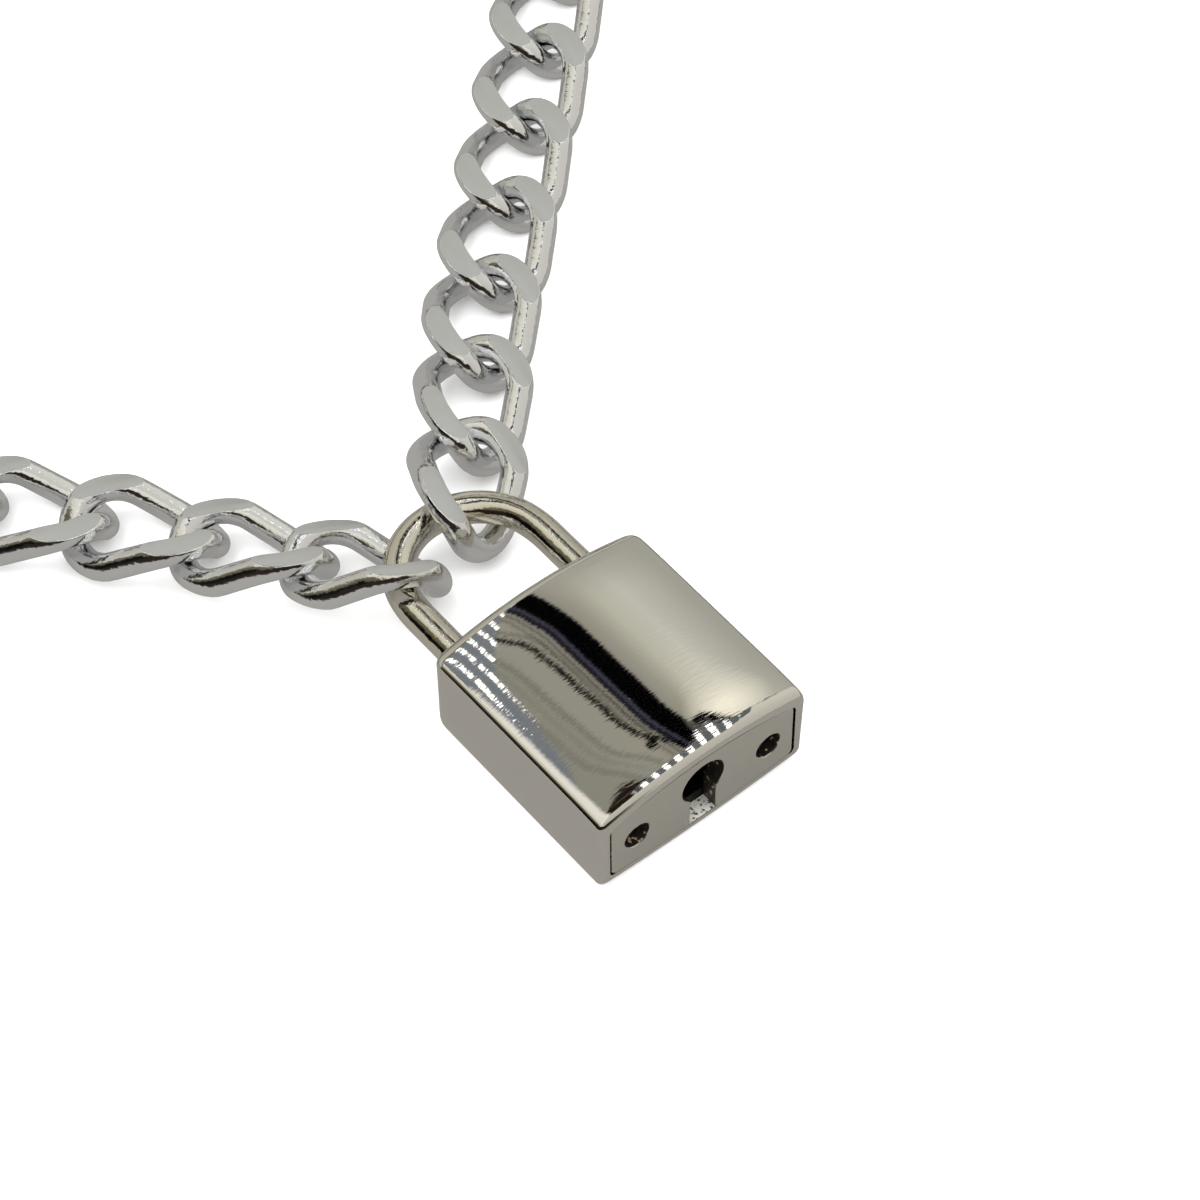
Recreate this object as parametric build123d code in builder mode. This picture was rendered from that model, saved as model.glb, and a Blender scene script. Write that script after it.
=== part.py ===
from build123d import *
import os
from math import cos, pi, radians, sin, tan

# A small nickel-plated padlock worn as a pendant on a flat curb chain.
# Millimetres, +Z up. The necklace lies on a table: the lock on its back, the chain on its flats.
# The model is drawn about the lock, with X across it, +Y from the keyhole end to the shackle and
# Z up from the table. At the end everything is moved so that the origin is the middle of the
# whole necklace's base.

# Lock case, a drawn shell that is closed at the shackle end
case_width = 20.0
case_length = 20.75
side_height = 7.85
front_rise = 1.3
back_rise = 0.35
case_wall = 0.9
crown_radius = 1.9
plan_corner_radius = 1.5
long_edge_radius = 0.45
mouth_radius = 0.6

# End plate in the open end, with the keyhole and two rivets
plate_thickness = 1.5
plate_gap = 0.05
keyhole_diameter = 4.1
keyhole_height = 5.5
keyway_width = 2.55
keyway_bottom = 0.95
rivet_side_distance = 3.55
rivet_height = 4.3
rivet_hole_diameter = 2.4
rivet_head_diameter = 2.3
rivet_head_thickness = 0.6
rivet_shank_diameter = 1.6
rivet_end_gap = 0.3
rivet_end_wall = 0.6

# Core that fills the case and holds the shackle's legs
core_gap = 0.06
keyway_depth = 9.0
keyway_margin = 0.35
keyway_ledge = 0.95
rivet_fit = 0.04

# Shackle
shackle_diameter = 2.65
shackle_height = 4.0
leg_side_distance = 3.6
leg_clearance = 0.08
long_leg_depth = 13.0
short_leg_depth = 3.6
leg_end_gap = 0.5
leg_chamfer = 0.25
shoulder_start = 5.8
shoulder_radius = 11.3
shoulder_turn = 10.0
shoulder_run = 0.1

# Curb link: a wire ring, twisted along its length and cut flat on both faces
wire_diameter = 2.3
link_length = 14.1
link_width = 9.8
flat_thickness = 3.8
link_twist = 45.0
tip_flat = 1.85
tip_radius = 3.1
shoulder_setback = 2.88
bar_slope = 0.52
side_radius = 4.0
arc_share = 0.99
link_gap = 0.23

# Chain
link_count = 50
table_gap = 0.04
# Where each strand's first link stands: its distance from the lock's middle as a share of a leg's,
# and its distance past the bow's top as a share of the link's length. Then a row for each link
# from the shackle outwards: heading to the next link, from +Y towards +X, roll that lifts the
# link's left side, and the height of its centre as a share of the flat thickness
LEFT_START = {"across": -1.053, "past_bow": -0.031}
LEFT_LINKS = [
    {"heading": -37.0, "roll": 27.0, "height": 1.003},
    {"heading": -35.3, "roll": 19.4, "height": 0.837},
    {"heading": -38.7, "roll": 10.7, "height": 0.695},
    {"heading": -38.7, "roll": 7.2, "height": 0.64},
    {"heading": -38.8, "roll": 4.0, "height": 0.58},
    {"heading": -38.8, "roll": 1.4, "height": 0.53},
]
RIGHT_START = {"across": 0.733, "past_bow": 0.0885}
RIGHT_LINKS = [
    {"heading": 40.6, "roll": 25.6, "height": 0.991},
    {"heading": 42.3, "roll": 18.3, "height": 0.815},
    {"heading": 46.9, "roll": 10.1, "height": 0.68},
    {"heading": 47.1, "roll": 3.2, "height": 0.565},
    {"heading": 47.6, "roll": 0.8, "height": 0.525},
    {"heading": 47.6, "roll": 0.3, "height": 0.515},
]

# Worked out from the sizes above
case_thickness = back_rise + side_height + front_rise
leg_x = case_width / 2 - leg_side_distance
rivet_x = case_width / 2 - rivet_side_distance
long_bore_end = case_length - long_leg_depth - leg_end_gap
rivet_end = long_bore_end - rivet_end_wall - rivet_end_gap
core_start = plate_thickness + core_gap
flat_height = table_gap + flat_thickness / 2
half_count = link_count // 2
pitch = link_length - 2 * wire_diameter - link_gap


def body_form(inset, start):
    """The lock's outer form, made smaller all round by an inset, from one Y to its closed end."""
    half_width = case_width / 2 - inset
    low = back_rise + inset
    high = back_rise + side_height - inset
    end = case_length - inset
    with BuildPart() as form:
        with BuildSketch(Plane.XZ.offset(-start)) as end_view:
            with BuildLine():
                ThreePointArc((-half_width, high), (0, high + front_rise), (half_width, high))
                Line((half_width, high), (half_width, low))
                ThreePointArc((half_width, low), (0, low - back_rise), (-half_width, low))
                Line((-half_width, low), (-half_width, high))
            make_face()
            fillet(end_view.vertices(), long_edge_radius)
        extrude(amount=start - end)
        with BuildSketch(Plane.YZ) as side_view:
            with BuildLine():
                Polyline((start, inset), (end, inset), (end, case_thickness - inset),
                         (start, case_thickness - inset), close=True)
            make_face()
            closed_corners = side_view.vertices().group_by(Axis.X)[-1]
            fillet(closed_corners, crown_radius - min(inset, crown_radius / 2))
        extrude(amount=case_width, both=True, mode=Mode.INTERSECT)
        with BuildSketch(Plane.XY) as plan:
            with BuildLine():
                Polyline((-half_width, start), (half_width, start), (half_width, end),
                         (-half_width, end), close=True)
            make_face()
            fillet(plan.vertices().group_by(Axis.Y)[-1], plan_corner_radius)
        extrude(amount=2 * case_thickness, mode=Mode.INTERSECT)
    return form.part


def keyhole_face(margin, bottom):
    """The keyhole's face in the XZ plane at Y 0: a round hole over a slot, wider by a margin."""
    with BuildSketch(Plane.XZ) as keyhole:
        with Locations((0, keyhole_height)):
            Circle(keyhole_diameter / 2 + margin)
        slot_height = keyhole_height - bottom
        with Locations((0, bottom + slot_height / 2)):
            Rectangle(keyway_width + 2 * margin, slot_height)
    return keyhole.sketch


# Drawn case, open at the keyhole end with its rim rounded, and with two holes for the shackle
with BuildPart() as case_shell:
    add(body_form(0, 0))
    fillet(case_shell.faces().sort_by(Axis.Y)[0].edges(), mouth_radius)
    add(body_form(case_wall, -case_wall), mode=Mode.SUBTRACT)
    with BuildSketch(Plane.XZ.offset(-case_length - case_wall)):
        with Locations((-leg_x, shackle_height), (leg_x, shackle_height)):
            Circle(shackle_diameter / 2 + leg_clearance)
    extrude(amount=3 * case_wall, mode=Mode.SUBTRACT)

# End plate, flush with the case's mouth
with BuildPart() as end_plate:
    add(body_form(case_wall + plate_gap, 0))
    with BuildSketch(Plane.XZ.offset(-plate_thickness)):
        with Locations((0, case_thickness / 2)):
            Rectangle(2 * case_width, 2 * case_thickness)
    extrude(amount=-case_length, mode=Mode.SUBTRACT)
    extrude(keyhole_face(0, keyway_bottom), amount=-2 * plate_thickness, mode=Mode.SUBTRACT)
    with BuildSketch(Plane.XZ):
        with Locations((-rivet_x, rivet_height), (rivet_x, rivet_height)):
            Circle(rivet_hole_diameter / 2)
    extrude(amount=-2 * plate_thickness, mode=Mode.SUBTRACT)

# Core: bores for the two legs, holes for the rivets, and the keyway behind the keyhole
with BuildPart() as lock_core:
    add(body_form(case_wall + core_gap, core_start))
    for leg_side, depth in ((-1, long_leg_depth), (1, short_leg_depth)):
        with BuildSketch(Plane.XZ.offset(depth + leg_end_gap - case_length)):
            with Locations((leg_side * leg_x, shackle_height)):
                Circle(shackle_diameter / 2 + leg_clearance)
        extrude(amount=-case_length, mode=Mode.SUBTRACT)
    with BuildSketch(Plane.XZ):
        with Locations((-rivet_x, rivet_height), (rivet_x, rivet_height)):
            Circle(rivet_shank_diameter / 2 + rivet_fit)
    extrude(amount=-(rivet_end + rivet_end_gap), mode=Mode.SUBTRACT)
    extrude(keyhole_face(keyway_margin, keyway_bottom + keyway_ledge),
            amount=-(core_start + keyway_depth), mode=Mode.SUBTRACT)


# Rivet, drawn in the lock's middle: a domed head sunk in the end plate on a shank in the core
with BuildPart() as rivet:
    with BuildSketch(Plane.XZ.offset(-(plate_thickness - rivet_head_thickness))):
        with Locations((0, rivet_height)):
            Circle(rivet_head_diameter / 2)
    extrude(amount=-rivet_head_thickness)
    head_rim = rivet.edges().group_by(Axis.Y)[0]
    fillet(head_rim, rivet_head_thickness / 2)
    with BuildSketch(Plane.XZ.offset(-plate_thickness)):
        with Locations((0, rivet_height)):
            Circle(rivet_shank_diameter / 2)
    extrude(amount=plate_thickness - rivet_end)


# Shackle: a round wire bow of three arcs on a long leg and a short one
turn = radians(shoulder_turn)
shoulder_tangent = shoulder_radius * tan(turn / 2)
bow_radius = (leg_x / sin(turn) - shoulder_tangent - shoulder_run) * tan(turn)
corner_y = case_length + shoulder_start + shoulder_tangent
apex_y = corner_y + leg_x / tan(turn)
bow_top_y = apex_y - bow_radius / sin(turn) + bow_radius
long_leg_end = case_length - long_leg_depth
short_leg_end = case_length - short_leg_depth

with BuildPart() as shackle:
    with BuildLine(Plane.XY.offset(shackle_height)) as bow_line:
        FilletPolyline((-leg_x, long_leg_end), (-leg_x, corner_y), (0, apex_y),
                       (leg_x, corner_y), (leg_x, short_leg_end),
                       radius=[shoulder_radius, bow_radius, shoulder_radius])
    with BuildSketch(Plane.XZ.offset(-long_leg_end)):
        with Locations((-leg_x, shackle_height)):
            Circle(shackle_diameter / 2)
    sweep(path=bow_line.wire())
    leg_ends = shackle.faces().filter_by(Axis.Y).edges()
    chamfer(leg_ends, leg_chamfer)

# One curb link, along X. Half its centreline runs from tip to tip round one side bar, and the
# other half is the same, turned half a turn about X.
half_length = (link_length - wire_diameter) / 2
half_width = (link_width - wire_diameter) / 2
tip_y = tip_flat * cos(radians(link_twist))
tip_z = tip_flat * sin(radians(link_twist))
shoulder_reach = half_length - shoulder_setback
side_z = shoulder_reach * bar_slope
tip_corner = (half_length, tip_y, -tip_z)
side_corner = (shoulder_reach, half_width, -side_z)
far_side_corner = (-shoulder_reach, half_width, side_z)
far_tip_corner = (-half_length, tip_y, tip_z)


def arc_radius(wanted, before, corner, after):
    """The radius of a corner's arc, no more than half of each of the corner's two runs allows."""
    back = Vector(*before) - Vector(*corner)
    ahead = Vector(*after) - Vector(*corner)
    half_turn = (pi - radians(back.get_angle(ahead))) / 2
    half_run = min(back.length, ahead.length) / 2
    return min(wanted, arc_share * half_run / tan(half_turn))


tip_arc = arc_radius(tip_radius, (half_length, -tip_y, tip_z), tip_corner, side_corner)
side_arc = arc_radius(side_radius, tip_corner, side_corner, far_side_corner)

with BuildPart() as half_link:
    with BuildLine() as side_line:
        FilletPolyline((half_length, 0, 0), tip_corner, side_corner, far_side_corner,
                       far_tip_corner, (-half_length, 0, 0),
                       radius=[tip_arc, side_arc, side_arc, tip_arc])
    with BuildSketch(Plane(origin=(half_length, 0, 0), z_dir=(0, tip_y, -tip_z))):
        Circle(wire_diameter / 2)
    sweep(path=side_line.wire())

with BuildPart() as curb_link:
    add(half_link.part)
    add(half_link.part.rotate(Axis.X, 180))
    Box(2 * link_length, 2 * link_width, flat_thickness, mode=Mode.INTERSECT)


def strand_rows(start, rows):
    """Centres of a strand's visible links, with each one's roll, and where and how it leaves them."""
    x = start["across"] * leg_x
    y = bow_top_y + start["past_bow"] * link_length
    heights = [row["height"] * flat_thickness for row in rows] + [flat_height]
    placed = []
    for index, row in enumerate(rows):
        placed.append((x, y, heights[index], row["roll"]))
        heading = radians(row["heading"])
        level_step = (pitch ** 2 - (heights[index + 1] - heights[index]) ** 2) ** 0.5
        x += level_step * sin(heading)
        y += level_step * cos(heading)
    return placed, (x, y), heading


def hidden_rows(left_end, left_heading, right_end, right_heading, count):
    """Centres of the links out of sight: two straight runs on one round arc that joins them.

    The arc's radius is the one that gives the path the length of the links on it.
    """
    left_x, left_y = left_end
    right_x, right_y = right_end
    half_angle = (right_heading - left_heading) / 2
    # Where the two runs would meet if they were drawn back towards the lock
    cross = sin(right_heading - left_heading)
    gap_x, gap_y = right_x - left_x, right_y - left_y
    left_run = (gap_x * cos(right_heading) - gap_y * sin(right_heading)) / cross
    right_run = (gap_x * cos(left_heading) - gap_y * sin(left_heading)) / cross
    meet_x = left_x - left_run * sin(left_heading)
    meet_y = left_y - left_run * cos(left_heading)
    path_length = (count - 1) * pitch
    arc_turn = pi + 2 * half_angle
    radius = (path_length + left_run + right_run) / (2 / tan(half_angle) + arc_turn)
    straight = radius / tan(half_angle)
    left_straight = straight - left_run
    axis_heading = (left_heading + right_heading) / 2
    centre_x = meet_x + radius / sin(half_angle) * sin(axis_heading)
    centre_y = meet_y + radius / sin(half_angle) * cos(axis_heading)
    rows = []
    for index in range(count):
        along = index * pitch
        if along <= left_straight:
            x = left_x + along * sin(left_heading)
            y = left_y + along * cos(left_heading)
        elif along <= left_straight + radius * arc_turn:
            angle = left_heading + (along - left_straight) / radius
            x = centre_x - radius * cos(angle)
            y = centre_y + radius * sin(angle)
        else:
            left_over = path_length - along
            x = right_x + left_over * sin(right_heading)
            y = right_y + left_over * cos(right_heading)
        rows.append((x, y, flat_height, 0.0))
    return rows


left_rows, left_end, left_heading = strand_rows(LEFT_START, LEFT_LINKS)
right_rows, right_end, right_heading = strand_rows(RIGHT_START, RIGHT_LINKS)
hidden_count = link_count - len(left_rows) - len(right_rows)
hidden = hidden_rows(left_end, left_heading, right_end, right_heading, hidden_count)
route = left_rows + hidden + right_rows[::-1]


def placed_link(index):
    """A link in its place: its long axis follows its neighbours, then it rolls about that axis.

    A roll lifts the side on the left as seen from the lock, also on the strand that comes back.
    """
    before = route[max(index - 1, 0)]
    after = route[min(index + 1, len(route) - 1)]
    x, y, z, roll = route[index]
    along = Vector(after[0] - before[0], after[1] - before[1], after[2] - before[2])
    upward = along.cross(Vector(0, 0, 1)).cross(along)
    stand = Plane(origin=(x, y, z), x_dir=along, z_dir=upward)
    seen_roll = roll if index < half_count else -roll
    return curb_link.part.moved(stand.location * Location((0, 0, 0), (seen_roll, 0, 0)))


left_links = [placed_link(index) for index in range(half_count)]
right_links = [placed_link(index) for index in range(half_count, link_count)]

pieces = {
    "case_shell": case_shell.part,
    "end_plate": end_plate.part,
    "rivet_left": rivet.part.moved(Location((-rivet_x, 0, 0))),
    "rivet_right": rivet.part.moved(Location((rivet_x, 0, 0))),
    "lock_core": lock_core.part,
    "shackle": shackle.part,
    "left_chain": Compound(children=left_links),
    "right_chain": Compound(children=right_links),
}

necklace_box = Compound(children=[piece.moved(Location()) for piece in pieces.values()]).bounding_box()
to_origin = Location((-necklace_box.center().X, -necklace_box.center().Y, -necklace_box.min.Z))

os.makedirs("parts", exist_ok=True)
for node, piece in pieces.items():
    placed = piece.moved(to_origin)
    placed.label = node
    export_step(placed, f"parts/{node}.step")
    print(node, placed.bounding_box())
print("origin shift", to_origin.position, "pitch", pitch)
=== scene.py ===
"""A small nickel-plated padlock on a heavy flat-cut curb chain, dressed for a studio picture.

Shapes are worked out in millimetres about the lock: X across it, +Y from the keyhole end to the
shackle and Z up from the table. Each finished mesh is then moved into the frame, in metres.
"""
import logging
from abc import ABC, abstractmethod
from collections.abc import Callable, Iterable, Mapping, Sequence
from dataclasses import dataclass, field
from enum import Enum, IntEnum
from math import asin, cos, pi, radians, sin, sqrt, tan

import bmesh
import bpy
from bmesh.types import BMEdge, BMesh, BMVert
from mathutils import Matrix, Vector


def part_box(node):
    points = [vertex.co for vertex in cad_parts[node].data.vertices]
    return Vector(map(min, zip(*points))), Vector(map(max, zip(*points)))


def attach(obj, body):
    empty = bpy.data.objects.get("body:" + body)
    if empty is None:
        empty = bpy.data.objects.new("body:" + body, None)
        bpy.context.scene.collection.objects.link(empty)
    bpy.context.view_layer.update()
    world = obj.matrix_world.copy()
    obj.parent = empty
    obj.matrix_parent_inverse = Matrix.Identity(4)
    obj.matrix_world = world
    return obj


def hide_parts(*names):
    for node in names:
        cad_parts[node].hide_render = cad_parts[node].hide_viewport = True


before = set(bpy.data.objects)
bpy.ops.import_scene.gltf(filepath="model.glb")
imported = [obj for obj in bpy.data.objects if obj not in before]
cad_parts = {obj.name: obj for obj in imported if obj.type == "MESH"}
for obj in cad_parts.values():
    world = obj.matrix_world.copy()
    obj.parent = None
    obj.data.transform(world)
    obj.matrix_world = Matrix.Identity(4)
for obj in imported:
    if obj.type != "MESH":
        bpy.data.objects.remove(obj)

Pair = tuple[float, float]
Triple = tuple[float, float, float]
Colour = Triple
Stops = tuple[tuple[float, Colour], ...]
Station = tuple[Vector, Vector]
Edges = list[BMEdge]
Socket = bpy.types.NodeSocket
Value = Socket | float | Sequence[float]

LOG = logging.getLogger("padlock_necklace")
MM = 0.001
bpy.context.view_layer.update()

# Two places nearer than the first are one, and a corner nearer to a cut than the second lies on it
SAME = 0.0001
ON_CUT = 0.000001
# A turn between two faces or edges past this is a corner of the form
CORNER = radians(45)

WHITE = (1.0, 1.0, 1.0)
DARK = (0.0008, 0.0008, 0.0012)
BROWN = (0.020, 0.012, 0.009)


class Body(Enum):
    """The two bodies that move against each other."""

    NECKLACE = "necklace"
    LOCK = "lock_body"


class Strand(Enum):
    """The chain's two halves, by the node that each one dresses."""

    LEFT = "left_chain"
    RIGHT = "right_chain"


def mesh_of(shape: BMesh, name: str) -> bpy.types.Mesh:
    """Turns a shape into a mesh, and frees the shape."""
    mesh = bpy.data.meshes.new(name)
    shape.to_mesh(mesh)
    shape.free()
    return mesh


def add_object(name: str, data: bpy.types.ID) -> bpy.types.Object:
    """Adds an object to the scene."""
    made = bpy.data.objects.new(name, data)
    bpy.context.scene.collection.objects.link(made)
    return made


def lock_place() -> Matrix:
    """The move from the lock's own millimetres to its place in the frame, in metres."""
    low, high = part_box("case_shell")
    origin = Vector(((low[0] + high[0]) / 2, low[1], 0.0))
    return Matrix.Translation(origin) @ Matrix.Scale(MM, 4)


class NodeKit:
    """Adds shader nodes to one tree and joins their sockets."""

    def __init__(self, tree: bpy.types.NodeTree) -> None:
        """Takes the tree that gets the nodes."""
        self.tree = tree

    def put(self, goal: Socket, value: Value) -> None:
        """Links a socket to an input, or sets the input to a number, a vector or a colour."""
        if isinstance(value, Socket):
            self.tree.links.new(value, goal)
        elif goal.type == "RGBA":
            goal.default_value = (*value, 1.0)
        else:
            goal.default_value = value

    def node(self, kind: str, inputs: Mapping[str | int, Value], **settings: str) -> bpy.types.Node:
        """Adds a node.

        Args:
            kind: Its type, without the words that every shader node's type starts with.
            inputs: What its inputs get, by name or by place.
            settings: Its own settings.

        Returns:
            The new node.
        """
        made = self.tree.nodes.new(f"ShaderNode{kind}")
        for name, choice in settings.items():
            setattr(made, name, choice)
        for place, value in inputs.items():
            self.put(made.inputs[place], value)
        return made

    def maths(self, operation: str, first: Value, second: Value = 0.0) -> Socket:
        """Works out a number from two."""
        return self.node("Math", {0: first, 1: second}, operation=operation).outputs["Value"]

    def rise(self, value: Value, start: float, end: float) -> Socket:
        """Goes from 0 where a value is at the start to 1 where it is at the end."""
        return self.node("MapRange", {"Value": value, "From Min": start, "From Max": end}).outputs["Result"]

    def mix(self, cover: Value, below: Value, above: Value, blend: str = "MIX") -> Socket:
        """Lays a colour over another one wherever a cover is 1, and returns the blended colour."""
        # The places of a mix node's cover and its two colours, and of the colour that it gives
        inputs = {0: cover, 6: below, 7: above}
        return self.node("Mix", inputs, data_type="RGBA", blend_type=blend).outputs[2]

    def noise(self, vector: Socket, scale: float, detail: float) -> Socket:
        """A noise over some coordinates."""
        return self.node("TexNoise", {"Vector": vector, "Scale": scale, "Detail": detail}).outputs["Fac"]

    def bump(self, height: Socket, depth: float, normal: Socket | None = None) -> Socket:
        """Adds a bump, its depth in metres, over a normal if there is one, and returns the new normal."""
        inputs = {"Height": height, "Distance": depth}
        if normal:
            inputs["Normal"] = normal
        return self.node("Bump", inputs).outputs["Normal"]


@dataclass(frozen=True)
class PlatedFinish:
    """A plated metal: a bright coat over fine polishing lines, pits and a slow unevenness.

    Args:
        name: The material's name.
        slot: A material slot's name; it is not used.
        colour: The coat's colour, in linear red, green and blue.
        roughness: The lowest and highest roughness over the surface.
        line_size: Width and length of a polishing line, in metres.
        line_depth: Depth of the lines, in metres.
        ripple_size: Width of the slow unevenness, in metres.
        ripple_depth: Depth of the slow unevenness, in metres.
        line_turn: Turn of the lines from +Y about Z, in degrees.
        line_detail: Finer steps in the lines.
        ripple_detail: Finer steps in the slow unevenness.
        pit_size: Width of a pit, in metres.
        pit_spacing: Distance between two places where a pit may be, in metres.
        pit_depth: Depth of a pit, in metres.
        metallic: How much of the surface is bare metal.
        patch_colour: Colour of the patches on the slow unevenness, if there are any: a dark speckle on the
            ledge, painted glints on the rivets and on the keyhole's walls.
        patch_level: Height above which the unevenness is a patch.
        patch_edge: Height over which the patch's edge fades.
    """

    name: str
    slot: str
    colour: Colour
    roughness: Pair
    line_size: Pair
    line_depth: float
    ripple_size: float
    ripple_depth: float
    line_turn: float = 0.0
    line_detail: float = 2.0
    ripple_detail: float = 1.0
    pit_size: float = 0.00009
    pit_spacing: float = 0.0012
    pit_depth: float = 0.0
    metallic: float = 1.0
    patch_colour: Colour | None = None
    patch_level: float = 0.55
    patch_edge: float = 0.04

    def material(self) -> bpy.types.Material:
        """Builds the finish as a node material, or finds the one that was built before."""
        known = bpy.data.materials.get(self.name)
        if known:
            return known
        made = bpy.data.materials.new(self.name)
        made.use_nodes = True
        coat = made.node_tree.nodes["Principled BSDF"].inputs
        kit = NodeKit(made.node_tree)
        place = kit.node("TexCoord", {}).outputs["Object"]
        across, along = self.line_size
        turn = (0.0, 0.0, radians(self.line_turn))
        stand = {"Vector": place, "Rotation": turn, "Scale": (across, along, across)}
        turned = kit.node("Mapping", stand, vector_type="TEXTURE").outputs["Vector"]
        lines = kit.noise(turned, 1.0, self.line_detail)
        ripple = kit.noise(place, 1 / self.ripple_size, self.ripple_detail)
        kit.put(coat["Base Color"], self.colour)
        # The patches are a dark speckle on the ledge, and painted glints on the rivets and on the keyhole's
        # walls.
        if self.patch_colour:
            patch = kit.rise(ripple, self.patch_level, self.patch_level + self.patch_edge)
            kit.put(coat["Base Color"], kit.mix(patch, self.colour, self.patch_colour))
        normal = kit.bump(lines, self.line_depth, kit.bump(ripple, self.ripple_depth))
        if self.pit_depth:
            normal = kit.bump(self.pits(kit, place), self.pit_depth, normal)
        low, high = self.roughness
        spread = kit.node("MapRange", {"Value": lines, "To Min": low, "To Max": high})
        kit.put(coat["Metallic"], self.metallic)
        kit.put(coat["Roughness"], spread.outputs["Result"])
        kit.put(coat["Normal"], normal)
        return made

    def pits(self, kit: NodeKit, place: Socket) -> Socket:
        """Scatters small pits over some coordinates, with a height of 0 in a pit and 1 elsewhere."""
        cells = kit.node("TexVoronoi", {"Vector": place, "Scale": 1 / self.pit_spacing})
        radius = self.pit_size / self.pit_spacing / 2
        return kit.rise(cells.outputs["Distance"], radius / 2, radius)


POLISHED_CASE = PlatedFinish(
    name="polished_case",
    slot="polished_nickel",
    colour=(0.74, 0.72, 0.68),
    roughness=(0.012, 0.045),
    line_size=(0.00020, 0.0016),
    line_turn=-95.0,
    line_depth=0.0000018,
    ripple_size=0.004,
    ripple_depth=0.000006,
    pit_spacing=0.0022,
    pit_depth=0.000006,
)
SATIN_PLATE = PlatedFinish(
    name="satin_plate",
    slot="satin_nickel",
    colour=(0.60, 0.585, 0.535),
    roughness=(0.18, 0.30),
    line_size=(0.00006, 0.0006),
    line_turn=80.0,
    line_depth=0.0000008,
    ripple_size=0.003,
    ripple_depth=0.000004,
    pit_depth=0.000006,
)
ROUGH_LEDGE = PlatedFinish(
    name="rough_ledge",
    slot="satin_nickel",
    colour=(0.72, 0.71, 0.64),
    roughness=(0.3, 0.5),
    line_size=(0.00012, 0.00016),
    line_depth=0.00004,
    ripple_size=0.0003,
    ripple_depth=0.00004,
    metallic=0.1,
    patch_colour=(0.10, 0.09, 0.06),
)
# The walls of the keyhole and of the recesses: near black as painted shade down the holes, with golden
# patches as painted glints.
SHADED_WALL_WITH_GLINTS = PlatedFinish(
    name="wall_painted_shade_and_glints",
    slot="satin_nickel",
    colour=(0.012, 0.010, 0.008),
    roughness=(0.2, 0.5),
    line_size=(0.00012, 0.00016),
    line_depth=0.00005,
    ripple_size=0.0005,
    ripple_depth=0.00008,
    metallic=0.3,
    patch_colour=(0.42, 0.33, 0.18),
    patch_level=0.64,
)
# The rivet heads: near black as painted shade at the bottom of their recesses, with pale patches as painted
# glints.
RIVET_SHADE_AND_GLINTS = PlatedFinish(
    name="rivet_painted_shade_and_glints",
    slot="satin_nickel",
    colour=(0.010, 0.009, 0.008),
    roughness=(0.1, 0.3),
    line_size=(0.0002, 0.0003),
    line_depth=0.00003,
    ripple_size=0.0006,
    ripple_depth=0.00008,
    metallic=0.3,
    patch_colour=(0.85, 0.84, 0.80),
    patch_level=0.58,
)
WARM_SHACKLE = PlatedFinish(
    name="warm_shackle",
    slot="shackle_nickel",
    colour=(0.77, 0.74, 0.66),
    roughness=(0.03, 0.08),
    line_size=(0.00034, 0.00044),
    line_depth=0.000020,
    ripple_size=0.002,
    ripple_depth=0.00002,
)
BRIGHT_CHAIN = PlatedFinish(
    name="bright_chain",
    slot="chain_plate",
    colour=(0.85, 0.86, 0.88),
    roughness=(0.04, 0.11),
    line_size=(0.00040, 0.00050),
    line_depth=0.000032,
    ripple_size=0.0015,
    ripple_depth=0.00003,
)
CUT_FLAT = PlatedFinish(
    name="cut_flat",
    slot="chain_plate",
    colour=(0.235, 0.235, 0.222),
    roughness=(0.36, 0.46),
    line_size=(0.00008, 0.0015),
    line_turn=30.0,
    line_depth=0.0000004,
    ripple_size=0.004,
    ripple_depth=0.000003,
    metallic=0.3,
)
# The core seen through the keyhole: near black, as painted shade inside the lock.
SHADED_INSIDE = PlatedFinish(
    name="inside_painted_shade",
    slot="inner_metal",
    colour=(0.02, 0.018, 0.016),
    roughness=(0.4, 0.6),
    line_size=(0.0002, 0.0002),
    line_depth=0.00001,
    ripple_size=0.001,
    ripple_depth=0.00002,
)


def finished(
    shape: BMesh,
    name: str,
    finishes: Sequence[PlatedFinish],
    body: Body,
    node: str,
    sharp_degrees: float = 32.0,
) -> None:
    """Turns a shape in the lock's millimetres into a dressed piece that stands for a CAD node.

    Args:
        shape: The piece's shape, which is freed.
        name: The piece's name.
        finishes: The finish of each material index.
        body: The body that the piece moves with.
        node: The CAD node that it stands for.
        sharp_degrees: The angle between two faces past which their edge stays crisp.
    """
    bmesh.ops.transform(shape, matrix=lock_place(), verts=shape.verts)
    mesh = mesh_of(shape, name)
    mesh.polygons.foreach_set("use_smooth", [True] * len(mesh.polygons))
    mesh.set_sharp_from_angle(angle=radians(sharp_degrees))
    for finish in finishes:
        mesh.materials.append(finish.material())
    piece = add_object(name, mesh)
    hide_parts(node)
    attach(piece, body.value)
    LOG.info("%s: %d faces for node %s", name, len(mesh.polygons), node)


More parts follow.
